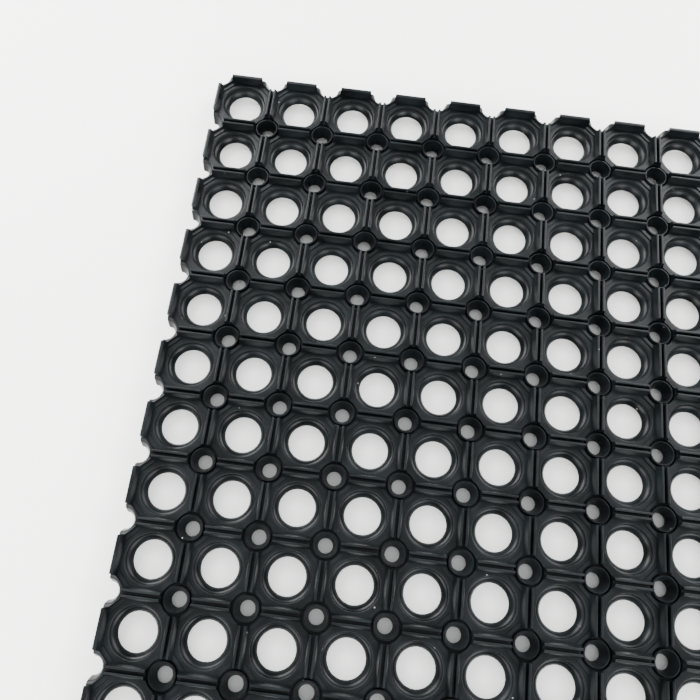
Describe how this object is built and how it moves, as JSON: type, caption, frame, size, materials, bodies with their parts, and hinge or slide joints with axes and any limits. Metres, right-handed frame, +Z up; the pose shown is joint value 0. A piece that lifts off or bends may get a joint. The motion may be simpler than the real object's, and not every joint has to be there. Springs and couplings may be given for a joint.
{
  "type": "rubber bath mat",
  "caption": "Thick black rubber mat: a grid of open wells with round drain holes, small tubes between them and short pins underneath.",
  "frame": {"origin": "centre of the mat's footprint, on the plane that the pin tips rest on", "axes": "+Z up from the floor through the mat's top side, +Y along the mat's long side"},
  "size_m": [0.4, 0.6, 0.018],
  "materials": {
    "black_rubber": "moulded, satin on the walls and ledges, duller underneath"
  },
  "bodies": {
    "root": {"bath_mat": "black_rubber"}
  },
  "joints": []
}
